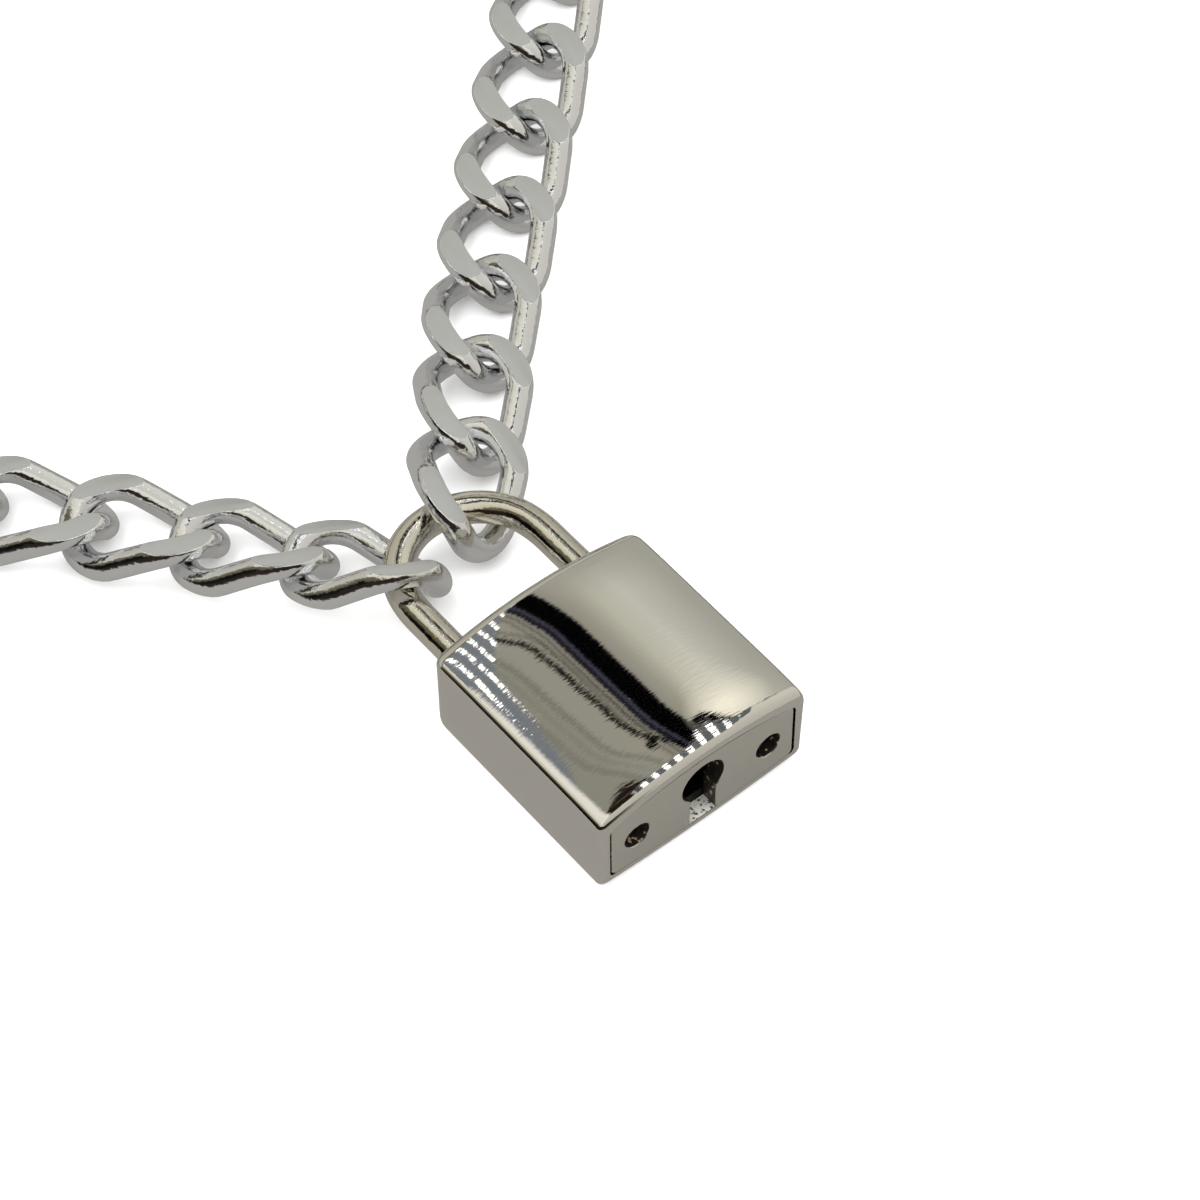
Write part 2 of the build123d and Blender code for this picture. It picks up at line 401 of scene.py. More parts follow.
@dataclass(frozen=True)
class RoundedPath:
    """A path of straight runs whose corners are rounded by arcs.

    Args:
        corners: The corners, in millimetres. An open path starts and ends on the outer two.
        radii: The arc's radius at each corner, and at each inner corner of an open path.
        closed: Whether the last corner leads back to the first.
    """

    corners: tuple[Vector, ...]
    radii: tuple[float, ...]
    closed: bool

    def bends(self) -> list[tuple[Vector, Vector, Vector, float]]:
        """The arcs in order: each one's centre, start, axis and angle."""
        count = len(self.corners)
        inner = range(count) if self.closed else range(1, count - 1)
        made = []
        for place, radius in zip(inner, self.radii):
            corner = self.corners[place]
            back = (self.corners[place - 1] - corner).normalized()
            ahead = (self.corners[(place + 1) % count] - corner).normalized()
            half = back.angle(ahead) / 2
            start = corner + back * radius / tan(half)
            centre = corner + (back + ahead).normalized() * radius / sin(half)
            made.append((centre, start, (-back).cross(ahead).normalized(), pi - 2 * half))
        return made

    def stations(self, spacing: float) -> list[Station]:
        """Points along the path, about evenly spaced.

        Args:
            spacing: The distance between two of them, in millimetres.

        Returns:
            Each station's point and direction.
        """
        made = [] if self.closed else [(self.corners[0], (self.corners[1] - self.corners[0]).normalized())]
        bends = self.bends()
        for centre, start, axis, angle in bends:
            if made:
                made += self.run(made[-1], start, spacing)
            arm = start - centre
            steps = max(2, round(arm.length * angle / spacing))
            for step in range(steps + 1):
                turned = Matrix.Rotation(angle * step / steps, 3, axis) @ arm
                made.append((centre + turned, axis.cross(turned).normalized()))
        if self.closed:
            made += self.run(made[-1], made[0][0], spacing)
        else:
            made += self.run(made[-1], self.corners[-1], spacing)
            made.append((self.corners[-1], made[-1][1]))
        return made

    @staticmethod
    def run(last: Station, goal: Vector, spacing: float) -> list[Station]:
        """The stations between the two ends of a straight run, which starts at the last one."""
        start, direction = last
        steps = round((goal - start).length / spacing)
        return [(start.lerp(goal, step / steps), direction) for step in range(1, steps)]


def circle(shape: BMesh, stand: Matrix, radius: float, sides: int) -> Edges:
    """Draws a circle and returns its edges, in order."""
    made = bmesh.ops.create_circle(shape, segments=sides, radius=radius, matrix=stand)
    return list(dict.fromkeys(edge for vert in made["verts"] for edge in vert.link_edges))


def add_shape(shape: BMesh, other: BMesh) -> None:
    """Adds another shape to a shape, and frees the other one."""
    carried = mesh_of(other, "carried")
    shape.from_mesh(carried)
    bpy.data.meshes.remove(carried)


def cut_across(shape: BMesh, point: Triple, way: Triple, clear: bool = False) -> Edges:
    """Cuts a shape by a plane, clears the far side if asked, and returns the cut's edges."""
    made = bmesh.ops.bisect_plane(
        shape, geom=[*shape.verts, *shape.edges, *shape.faces], dist=ON_CUT,
        plane_co=point, plane_no=way, clear_outer=clear,
    )["geom_cut"]
    return [item for item in made if isinstance(item, BMEdge)]


def lie_at(verts: Iterable[BMVert], y: float) -> bool:
    """Whether all of some corners lie at one place along the lock."""
    return all(abs(vert.co.y - y) < SAME for vert in verts)


def sweep(
    shape: BMesh,
    stations: Sequence[Station],
    radius: Callable[[int], float],
    sides: int,
    closed: bool,
) -> None:
    """Sweeps a round section along stations that never point straight up.

    Args:
        shape: The shape that gets the tube.
        stations: Each station's point and direction.
        radius: Gives a station's radius from its number, in millimetres.
        sides: The section's number of sides.
        closed: Whether the last section joins the first.
    """
    rings = []
    for number, (point, direction) in enumerate(stations):
        side = direction.cross(Vector((0, 0, 1))).normalized()
        stand = Matrix((side, side.cross(direction), direction)).transposed().to_4x4()
        stand.translation = point
        rings.append(circle(shape, stand, radius(number), sides))
    pairs = list(zip(rings, rings[1:]))
    if closed:
        pairs.append((rings[-1], rings[0]))
    for first, second in pairs:
        bmesh.ops.bridge_loops(shape, edges=first + second)
    if not closed:
        for ring in (rings[0], rings[-1]):
            bmesh.ops.contextual_create(shape, geom=ring)
    bmesh.ops.recalc_face_normals(shape, faces=shape.faces)


class Pen:
    """Draws a chain of edges in a shape, by extruding and spinning its last corner."""

    def __init__(self, shape: BMesh, start: Vector) -> None:
        """Puts the pen down at the first corner."""
        self.shape = shape
        self.first = bmesh.ops.create_vert(shape, co=start)["vert"][0]
        self.last = self.first

    def line(self, goal: Vector) -> None:
        """Draws a straight line to a goal."""
        made = bmesh.ops.extrude_vert_indiv(self.shape, verts=[self.last])
        self.last = made["verts"][0]
        self.last.co = goal

    def arc(self, centre: Vector, axis: Vector, angle: float, steps: int) -> None:
        """Draws an arc of some steps about a centre and an axis, its angle in radians."""
        made = bmesh.ops.spin(
            self.shape, geom=[self.last], cent=centre, axis=axis, angle=angle, steps=steps, use_merge=False
        )
        self.last = next(item for item in made["geom_last"] if isinstance(item, BMVert))

    def close(self) -> Edges:
        """Joins the last corner to the first, and returns all the edges of the outline."""
        if (self.last.co - self.first.co).length < SAME:
            bmesh.ops.pointmerge(self.shape, verts=[self.last, self.first], merge_co=self.first.co)
            self.first = next(v for v in self.shape.verts if (v.co - self.first.co).length < SAME)
        else:
            bmesh.ops.contextual_create(self.shape, geom=[self.last, self.first])
        return outline_through(self.first)


def outline_through(vert: BMVert) -> Edges:
    """All the edges of the outline that a corner lies on."""
    seen: set[BMEdge] = set()
    waiting = [vert]
    while waiting:
        for edge in waiting.pop().link_edges:
            if edge not in seen:
                seen.add(edge)
                waiting += edge.verts
    return list(seen)


class PlateSurface(IntEnum):
    """The end plate's surfaces, in the order of its finishes."""

    FACE = 0
    LEDGE = 1
    WALL = 2


@dataclass
class LockCase:
    """The lock's drawn case, its end plate and its rivets, in millimetres.

    Args:
        width: Across the case.
        length: From the keyhole end to the closed end.
        side_height: Height of the straight sides.
        front_rise: Rise of the front's arch over the sides.
        back_rise: Rise of the back's arch.
        wall: The case's wall.
        front_crown: Rounding of the front into the closed end.
        back_crown: Rounding of the back into it.
        plan_radius: Rounding of the sides into it.
        long_edge_radius: Rounding of the front and the back into the sides.
        mouth_radius: Rounding of the front into the keyhole end.
        mouth_side_radius: Rounding of the sides and the back into it.
        mouth_flare: What is left of that rounding higher up on the right, where the case is a little flared.
        flare_start: Height at which that rounding starts to lessen.
        flare_span: Height over which it lessens.
        end_slope_reach: Length over which the front falls away towards each end.
        end_slope_drop: How far it falls.
        leg_x: Distance of the shackle's legs from the lock's middle.
        leg_height: Height of the legs.
        leg_hole_radius: Radius of their holes.
        plate_thickness: The end plate's thickness.
        plate_gap: Gap over and under the plate.
        plate_side_gap: Gap at its two sides.
        edge_chamfer: Width of its broken edges.
        keyhole_radius: Radius of the keyhole's round part.
        keyhole_height: Height of its middle.
        keyway_width: Width of its slot.
        keyway_bottom: Height of the slot's floor.
        slot_rim: Least height of that floor over the plate's border.
        rivet_x: Distance of the rivets from the lock's middle.
        rivet_height: Height of their middle.
        rivet_hole_radius: Radius of the recesses over them.
        rivet_sink: Depth of a rivet's dome under the plate's face.
        rivet_dome: Reach and depth of the dome's points, from its middle to its rim.
        shank_radius: Radius of a rivet's shank.
        shank_length: Length of the shank behind the plate.
        front_steps: Chords of the front's arch.
        length_steps: Steps along the case's straight stretch.
        crown_steps: Steps round into the closed end.
        mouth_steps: Steps round into the keyhole end.
        edge_steps: Steps round a long edge.
        leg_hole_sides: Sides of a leg's hole, and of the keyhole's round part.
        rivet_hole_sides: Sides of a recess.
        rivet_sides: Sides of a rivet.
        case_crisp: Angle past which an edge of the case stays crisp, in degrees.
        plate_crisp: The same for the plate.
    """

    width: float = 20.0
    length: float = 20.75
    side_height: float = 7.85
    front_rise: float = 1.3
    back_rise: float = 0.35
    wall: float = 0.9
    front_crown: float = 1.0
    back_crown: float = 1.9
    plan_radius: float = 1.5
    long_edge_radius: float = 0.45
    mouth_radius: float = 0.8
    mouth_side_radius: float = 0.6
    mouth_flare: float = 0.2
    flare_start: float = 1.8
    flare_span: float = 1.6
    end_slope_reach: float = 4.5
    end_slope_drop: float = 0.16
    leg_x: float = 6.4
    leg_height: float = 4.0
    leg_hole_radius: float = 1.405
    plate_thickness: float = 1.5
    plate_gap: float = 0.02
    plate_side_gap: float = 0.20
    edge_chamfer: float = 0.07
    keyhole_radius: float = 2.05
    keyhole_height: float = 5.5
    keyway_width: float = 2.55
    keyway_bottom: float = 0.95
    slot_rim: float = 0.02
    rivet_x: float = 6.45
    rivet_height: float = 4.3
    rivet_hole_radius: float = 1.2
    rivet_sink: float = 0.9
    rivet_dome: tuple[Pair, ...] = (
        (0.0, 0.0), (0.35, 0.02), (0.7, 0.09), (0.95, 0.2), (1.1, 0.36), (1.15, 0.5),
    )
    shank_radius: float = 0.8
    shank_length: float = 3.95
    front_steps: int = 40
    length_steps: int = 16
    crown_steps: int = 12
    mouth_steps: int = 10
    edge_steps: int = 5
    leg_hole_sides: int = 40
    rivet_hole_sides: int = 32
    rivet_sides: int = 28
    case_crisp: float = 38.0
    plate_crisp: float = 20.0

    def section(self, shape: BMesh, inset: float, y: float) -> Edges:
        """Draws the case's arched section as a sharp-cornered outline.

        Args:
            shape: The shape that gets the outline.
            inset: How far it lies inside the case's surface.
            y: The place of its plane.

        Returns:
            The outline's edges.
        """
        half = self.width / 2 - inset
        low, high = self.back_rise + inset, self.back_rise + self.side_height - inset
        pen = Pen(shape, Vector((half, y, high)))
        for rise, level, towards, steps in (
            (self.front_rise, high, 1, self.front_steps), (self.back_rise, low, -1, self.front_steps // 2),
        ):
            radius = self.arch_radius(rise, half)
            centre = Vector((0, y, level + towards * (rise - radius)))
            pen.arc(centre, Vector((0, -1, 0)), 2 * asin(half / radius), steps)
            if level == high:
                pen.line(Vector((-half, y, low)))
        return pen.close()

    def round_corners(self, shape: BMesh, corners: Sequence[object], affect: str) -> None:
        """Rounds long EDGES, or an outline's VERTICES, by the radius of the long edges."""
        bmesh.ops.bevel(
            shape, geom=corners, offset=self.long_edge_radius, segments=self.edge_steps, profile=0.5,
            affect=affect, offset_type="OFFSET", material=-1,
        )

    def form(self, inset: float) -> BMesh:
        """The case's rounded form as a closed shape, smaller all round by an inset.

        Args:
            inset: How far the form lies inside the case's surface.

        Returns:
            The closed shape, its open end still capped.
        """
        shape = bmesh.new()
        end = self.length - inset
        cap = bmesh.ops.contextual_create(shape, geom=self.section(shape, inset, 0.0))["faces"]
        grown = bmesh.ops.extrude_face_region(shape, geom=cap, use_keep_orig=True)["geom"]
        moved = [item for item in grown if isinstance(item, BMVert)]
        bmesh.ops.translate(shape, verts=moved, vec=(0, end, 0))
        bmesh.ops.recalc_face_normals(shape, faces=shape.faces)
        long_edges = [
            edge
            for edge in shape.edges
            if abs((edge.verts[0].co - edge.verts[1].co).y) > end / 2 and edge.calc_face_angle(0.0) > CORNER
        ]
        self.round_corners(shape, long_edges, "EDGES")
        flat_end = end - max(self.front_crown, self.back_crown)
        stations = [flat_end * (step + 1) / self.length_steps for step in range(self.length_steps)]
        for crown in (self.front_crown, self.back_crown):
            turns = [pi / 2 * step / self.crown_steps for step in range(self.crown_steps)]
            stations += [end - crown + crown * sin(turn) for turn in turns]
        turns = [pi / 2 * (step + 1) / self.mouth_steps for step in range(self.mouth_steps)]
        stations += [self.mouth_radius * (1 - cos(turn)) for turn in turns]
        for y in sorted(y for y in stations if y < end - SAME):
            cut_across(shape, (0, y, 0), (0, 1, 0))
        for vert in shape.verts:
            vert.co = self.rounded(vert.co, inset, end)
        return shape

    def rounded(self, place: Vector, inset: float, end: float) -> Vector:
        """Moves a point of the straight form on to the case's rounded one.

        Args:
            place: A point of the straight form.
            inset: How far the form lies inside the case's surface.
            end: Where the form ends.

        Returns:
            The point's new place.
        """
        x, y, z = place
        low, high = self.back_rise + inset, self.back_rise + self.side_height - inset
        top = high + self.arch(x, self.front_rise, inset) - self.front_crown
        bottom = low - self.arch(x, self.back_rise, inset) + self.back_crown
        if z > top:
            keep = self.keep(y, self.front_crown, end)
            z = top + (z - top) * keep - self.slope_drop(y) * keep
            z -= self.fall(y, self.mouth_radius, inset)
        elif z < bottom:
            z = bottom - (bottom - z) * self.keep(y, self.back_crown, end)
            z += self.fall(y, self.mouth_side_radius, inset)
        turn = self.plan_radius
        past = max(0.0, y - end + turn)
        half = self.width / 2 - inset
        x *= (half - turn + sqrt(max(0.0, turn ** 2 - past ** 2))) / half
        share = min(1.0, max(0.0, (z - self.flare_start) / self.flare_span)) if x > 0 else 0.0
        edge = self.mouth_side_radius + (self.mouth_flare - self.mouth_side_radius) * share
        x *= 1 - self.fall(y, edge, inset) / half
        return Vector((x, y, z))

    @staticmethod
    def arch_radius(rise: float, half: float) -> float:
        """Radius of an arched face from its rise and half its width."""
        return (half ** 2 + rise ** 2) / (2 * rise)

    def arch(self, x: float, rise: float, inset: float) -> float:
        """Height of an arched face over its edges, at a distance from the middle."""
        radius = self.arch_radius(rise, self.width / 2 - inset)
        return sqrt(max(0.0, radius ** 2 - x ** 2)) - radius + rise

    @staticmethod
    def keep(y: float, crown: float, end: float) -> float:
        """The share of a crown's height that is left at a place near the closed end."""
        return sqrt(max(0.0, 1 - max(0.0, (y - end + crown) / crown) ** 2))

    @staticmethod
    def fall(y: float, radius: float, inset: float) -> float:
        """How far the outer form, and no inner one, lies back at the mouth's rounded edge."""
        if inset or y >= radius:
            return 0.0
        return radius - sqrt(radius ** 2 - (radius - y) ** 2)

    def slope_drop(self, y: float) -> float:
        """How far the polished front falls away towards both its ends."""
        near = min(y, self.length - y)
        return self.end_slope_drop * max(0.0, 1 - max(near, 0.0) / self.end_slope_reach) ** 2

    @staticmethod
    def holes(shape: BMesh, y: float, x: float, height: float, radius: float, sides: int) -> list[Edges]:
        """Draws two round outlines across Y, one on each side of the lock's middle."""
        upright = Matrix.Rotation(pi / 2, 4, "X")
        stands = [Matrix.Translation((side * x, y, height)) @ upright for side in (-1, 1)]
        return [circle(shape, stand, radius, sides) for stand in stands]

    def shell(self) -> None:
        """Builds the case: two forms joined at the mouth and round the shackle's holes."""
        shape, inner = self.form(0.0), self.form(self.wall)
        bmesh.ops.reverse_faces(inner, faces=inner.faces)
        add_shape(shape, inner)
        inner_end = self.length - self.wall
        for y in (0.0, self.length, inner_end):
            flat = [face for face in shape.faces if lie_at(face.verts, y)]
            bmesh.ops.delete(shape, geom=flat, context="FACES_ONLY")
        rim = [edge for edge in shape.edges if edge.is_boundary and lie_at(edge.verts, 0.0)]
        bmesh.ops.triangle_fill(shape, use_beauty=True, edges=rim, normal=(0, -1, 0))
        pairs = []
        for y, way in ((self.length, 1), (inner_end, -1)):
            border = [edge for edge in shape.edges if edge.is_boundary and lie_at(edge.verts, y)]
            radius = self.leg_hole_radius
            rings = self.holes(shape, y, self.leg_x, self.leg_height, radius, self.leg_hole_sides)
            edges = border + rings[0] + rings[1]
            bmesh.ops.triangle_fill(shape, use_beauty=True, edges=edges, normal=(0, way, 0))
            pairs.append(rings)
        for outer, inside in zip(*pairs):
            bmesh.ops.bridge_loops(shape, edges=outer + inside)
        bmesh.ops.recalc_face_normals(shape, faces=shape.faces)
        finished(shape, "case_body", [POLISHED_CASE], Body.LOCK, "case_shell", self.case_crisp)

    def keyhole(self, shape: BMesh, margin: float, y: float) -> Edges:
        """Draws the keyhole's outline.

        Args:
            shape: The shape that gets the outline.
            margin: How much larger than the keyhole it is, all round.
            y: The place of its plane.

        Returns:
            The outline's edges.
        """
        radius, half = self.keyhole_radius + margin, self.keyway_width / 2 + margin
        border = self.wall + self.plate_gap + margin
        bottom = max(self.keyway_bottom - margin, border + self.slot_rim)
        drop = sqrt(radius ** 2 - half ** 2)
        centre = Vector((0, y, self.keyhole_height))
        pen = Pen(shape, Vector((-half, y, bottom)))
        pen.line(Vector((half, y, bottom)))
        pen.line(centre + Vector((half, 0, -drop)))
        pen.arc(centre, Vector((0, -1, 0)), 2 * pi - 2 * asin(half / radius), self.leg_hole_sides)
        return pen.close()

    def plate_border(self, shape: BMesh, inset: float, y: float) -> Edges:
        """Draws the plate's border: the case's section at an inset, narrower and with rounded corners.

        Args:
            shape: The shape that gets the outline.
            inset: How far it lies inside the case's surface.
            y: The place of its plane.

        Returns:
            The outline's edges.
        """
        drawn = bmesh.new()
        bmesh.ops.contextual_create(drawn, geom=self.section(drawn, inset, y))
        half = self.width / 2 - self.wall
        narrower = (half - self.plate_side_gap) / (half - self.plate_gap)
        bmesh.ops.scale(drawn, verts=drawn.verts, vec=(narrower, 1, 1))
        corners = [vert for vert in drawn.verts if vert.calc_edge_angle(0.0) > CORNER]
        self.round_corners(drawn, corners, "VERTICES")
        bmesh.ops.delete(drawn, geom=drawn.faces, context="FACES_ONLY")
        known = set(shape.edges)
        add_shape(shape, drawn)
        return [edge for edge in shape.edges if edge not in known]

    def end_plate(self) -> None:
        """Builds the end plate with its keyhole and recesses, their edges broken."""
        shape = bmesh.new()
        outlines = []
        for margin, y in ((self.edge_chamfer, 0.0), (0.0, self.edge_chamfer), (0.0, self.plate_thickness)):
            border = self.plate_border(shape, self.wall + self.plate_gap + margin, y)
            radius = self.rivet_hole_radius + margin
            recesses = self.holes(shape, y, self.rivet_x, self.rivet_height, radius, self.rivet_hole_sides)
            outlines.append([border, self.keyhole(shape, margin, y), *recesses])
        for outline, way in ((outlines[0], -1), (outlines[-1], 1)):
            edges = [edge for ring in outline for edge in ring]
            bmesh.ops.triangle_fill(shape, use_beauty=True, edges=edges, normal=(0, way, 0))
        for surface, near, far in zip((PlateSurface.FACE, PlateSurface.WALL), outlines, outlines[1:]):
            for first, second in zip(near, far):
                for wall in bmesh.ops.bridge_loops(shape, edges=first + second)["faces"]:
                    wall.material_index = surface
        bmesh.ops.recalc_face_normals(shape, faces=shape.faces)
        shape.normal_update()
        for face in shape.faces:
            middle = face.calc_center_median()
            in_slot = abs(middle.x) < self.keyway_width / 2 and middle.z < self.keyhole_height
            if face.material_index == PlateSurface.WALL and face.normal.z > cos(CORNER) and in_slot:
                face.material_index = PlateSurface.LEDGE
        # The walls of the keyhole and the recesses get painted shade with painted glints.
        finishes = [SATIN_PLATE, ROUGH_LEDGE, SHADED_WALL_WITH_GLINTS]
        finished(shape, "keyhole_plate", finishes, Body.LOCK, "end_plate", self.plate_crisp)

    def rivet(self, side: int, node: str) -> None:
        """Builds one rivet: a low dome on a shank, spun about its axis.

        Args:
            side: -1 for the left one and 1 for the right one.
            node: The node that it stands for.
        """
        shape = bmesh.new()
        middle = Vector((side * self.rivet_x, 0.0, self.rivet_height))
        back, rim = self.plate_thickness, self.rivet_dome[-1][0]
        profile = [(reach, self.rivet_sink + depth) for reach, depth in self.rivet_dome]
        profile += [(rim, back), (self.shank_radius, back)]
        profile += [(self.shank_radius, back + self.shank_length), (0.0, back + self.shank_length)]
        pen = Pen(shape, middle + Vector((*profile[0], 0)))
        for point in profile[1:]:
            pen.line(middle + Vector((*point, 0)))
        bmesh.ops.spin(
            shape, geom=[*shape.verts, *shape.edges], cent=middle, axis=(0, 1, 0), angle=2 * pi,
            steps=self.rivet_sides, use_merge=True,
        )
        bmesh.ops.remove_doubles(shape, verts=shape.verts, dist=SAME)
        bmesh.ops.recalc_face_normals(shape, faces=shape.faces)
        # The rivet is near black as painted shade in its recess, with painted glints.
        finished(shape, node.replace("rivet", "rivet_head"), [RIVET_SHADE_AND_GLINTS], Body.LOCK, node)

    def build(self) -> None:
        """Builds every piece of the case, and dresses the core that shows through the keyhole."""
        self.shell()
        self.end_plate()
        self.rivet(-1, "rivet_left")
        self.rivet(1, "rivet_right")
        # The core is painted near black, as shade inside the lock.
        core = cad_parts["lock_core"].data.materials
        core.clear()
        core.append(SHADED_INSIDE.material())


@dataclass
class Shackle:
    """The round wire bow: three arcs on a long leg and a short one, in millimetres.

    Args:
        case: The case that holds it.
        radius: The wire's radius.
        long_leg: How deep the captive leg reaches into the case.
        short_leg: How deep the other leg reaches.
        shoulder_start: Straight wire outside the case.
        shoulder_radius: Radius of the two shoulders.
        shoulder_turn: Angle of each shoulder, in degrees.
        shoulder_run: Straight wire between a shoulder and the bow.
        end_chamfer: Width of the broken edge round each end.
        spacing: Distance between two sections of the wire.
        sides: The wire's number of sides.
    """

    case: LockCase
    radius: float = 1.325
    long_leg: float = 13.0
    short_leg: float = 3.6
    shoulder_start: float = 5.8
    shoulder_radius: float = 11.3
    shoulder_turn: float = 10.0
    shoulder_run: float = 0.1
    end_chamfer: float = 0.25
    spacing: float = 0.4
    sides: int = 40

    @property
    def bow_radius(self) -> float:
        """Radius of the bow's top arc, in millimetres."""
        turn = radians(self.shoulder_turn)
        tangent = self.shoulder_radius * tan(turn / 2)
        return (self.case.leg_x / sin(turn) - tangent - self.shoulder_run) * tan(turn)

    @property
    def corner(self) -> float:
        """Where a leg and the slanted run past its shoulder would meet, along Y."""
        shoulder = self.shoulder_radius * tan(radians(self.shoulder_turn) / 2)
        return self.case.length + self.shoulder_start + shoulder

    @property
    def apex(self) -> float:
        """Where the two slanted runs of the bow's path would meet, along Y."""
        return self.corner + self.case.leg_x / tan(radians(self.shoulder_turn))

    @property
    def bow_top(self) -> float:
        """Where the top of the wire's centreline lies, along Y."""
        return self.apex - self.bow_radius / sin(radians(self.shoulder_turn)) + self.bow_radius

    def build(self) -> None:
        """Sweeps the wire and chamfers its two ends."""
        leg, height, mouth = self.case.leg_x, self.case.leg_height, self.case.length
        points = (
            (-leg, mouth - self.long_leg), (-leg, self.corner), (0, self.apex), (leg, self.corner),
            (leg, mouth - self.short_leg),
        )
        corners = tuple(Vector((x, y, height)) for x, y in points)
        radii = (self.shoulder_radius, self.bow_radius, self.shoulder_radius)
        stations = RoundedPath(corners, radii, closed=False).stations(self.spacing)
        ends = (0, len(stations) - 1)
        shape = bmesh.new()
        sweep(shape, stations, lambda n: self.radius - self.end_chamfer * (n in ends), self.sides, False)
        finished(shape, "shackle_bow", [WARM_SHACKLE], Body.NECKLACE, "shackle")


class LinkSurface(IntEnum):
    """A link's surfaces, in the order of its finishes."""

    WIRE = 0
    CUT = 1


@dataclass
class CurbLink:
    """One curb link along X: a wire ring, twisted and cut flat on both faces, in millimetres.

    Args:
        wire_radius: The wire's radius.
        length: The link's whole length.
        width: Its whole width before the cut.
        flat_thickness: Distance between the two cut faces.
        twist: Turn of each end about X, in degrees.
        tip_flat: Straight wire across each end, from its middle.
        tip_radius: Radius of the corners beside the ends.
        shoulder_setback: How far the side bars' corners lie behind the end's centreline.
        bar_slope: Rise of a side bar for its length.
        side_radius: Radius of the side bars' corners.
        chamfer: Width of the broken edge round a cut face.
        seam_width: Width of the butt seam.
        seam_floor: Width of the seam's floor, as a share of its own.
        seam_depth: The seam's depth.
        seam_place: Where the seam is, from the link's middle.
        spacing: Distance between two sections of the wire.
        sides: The wire's number of sides.
    """

    wire_radius: float = 1.15
    length: float = 14.1
    width: float = 9.8
    flat_thickness: float = 3.8
    twist: float = 45.0
    tip_flat: float = 1.85
    tip_radius: float = 3.1
    shoulder_setback: float = 2.88
    bar_slope: float = 0.52
    side_radius: float = 4.0
    chamfer: float = 0.06
    seam_width: float = 0.2
    seam_floor: float = 0.6
    seam_depth: float = 0.45
    seam_place: Vector = field(default_factory=lambda: Vector((-5.5, -1.0, -0.8)))
    spacing: float = 0.42
    sides: int = 26

    def path(self) -> RoundedPath:
        """The ring's closed centreline."""
        half_length = self.length / 2 - self.wire_radius
        half_width = self.width / 2 - self.wire_radius
        twist = radians(self.twist)
        tip = Vector((half_length, self.tip_flat * cos(twist), -self.tip_flat * sin(twist)))
        reach = half_length - self.shoulder_setback
        side = Vector((reach, half_width, -reach * self.bar_slope))
        corners = [tip, side]
        # The other three quarters are this one, turned half a turn about Y, about Z and about X
        for turned, order in ((Vector((-1, 1, -1)), -1), (Vector((-1, -1, 1)), 1), (Vector((1, -1, -1)), -1)):
            corners += [corner * turned for corner in (tip, side)[::order]]
        radii = (self.tip_radius, self.side_radius, self.side_radius, self.tip_radius) * 2
        return RoundedPath(tuple(corners), radii, closed=True)

    def mesh(self) -> bpy.types.Mesh:
        """Builds the link's mesh about its centre, its cut faces under the second material."""
        stations = self.path().stations(self.spacing)
        seam = min(range(len(stations)), key=lambda n: (stations[n][0] - self.seam_place).length)
        point, direction = stations[seam]
        half = direction * self.seam_width / 2
        groove = (-1.0, -self.seam_floor, self.seam_floor, 1.0)
        stations[seam:seam + 1] = [(point + half * share, direction) for share in groove]
        floor = (seam + 1, seam + 2)
        shape = bmesh.new()
        sweep(shape, stations, lambda n: self.wire_radius - self.seam_depth * (n in floor), self.sides, True)
        for way in (1, -1):
            self.cut_flat(shape, way)
        return mesh_of(shape, "curb_link")

    def cut_flat(self, shape: BMesh, way: int) -> None:
        """Cuts one face of the ring flat and breaks the edge round it.

        Args:
            shape: The ring.
            way: 1 for the upper face and -1 for the lower one.
        """
        step = self.chamfer / 2
        level = way * (self.flat_thickness / 2 - step)
        edges = cut_across(shape, (0, 0, level), (0, 0, way), clear=True)
        flats = bmesh.ops.holes_fill(shape, edges=edges, sides=0)["faces"]
        bmesh.ops.recalc_face_normals(shape, faces=shape.faces)
        edge = {"thickness": self.chamfer, "depth": step}
        bmesh.ops.inset_individual(shape, faces=flats, use_even_offset=True, **edge)
        for flat in flats:
            flat.material_index = LinkSurface.CUT


def heading(way: float) -> Vector:
    """The level direction at an angle from +Y towards +X, in radians."""
    return Vector((sin(way), cos(way), 0))


@dataclass(frozen=True)
class StrandRow:
    """One visible link of a strand, from the shackle outwards.

    Args:
        heading: The way to the next link, from +Y towards +X, in degrees.
        roll: The turn that lifts the link's left side, in degrees.
        height: Height of its centre as a share of the flat thickness.
    """

    heading: float
    roll: float
    height: float


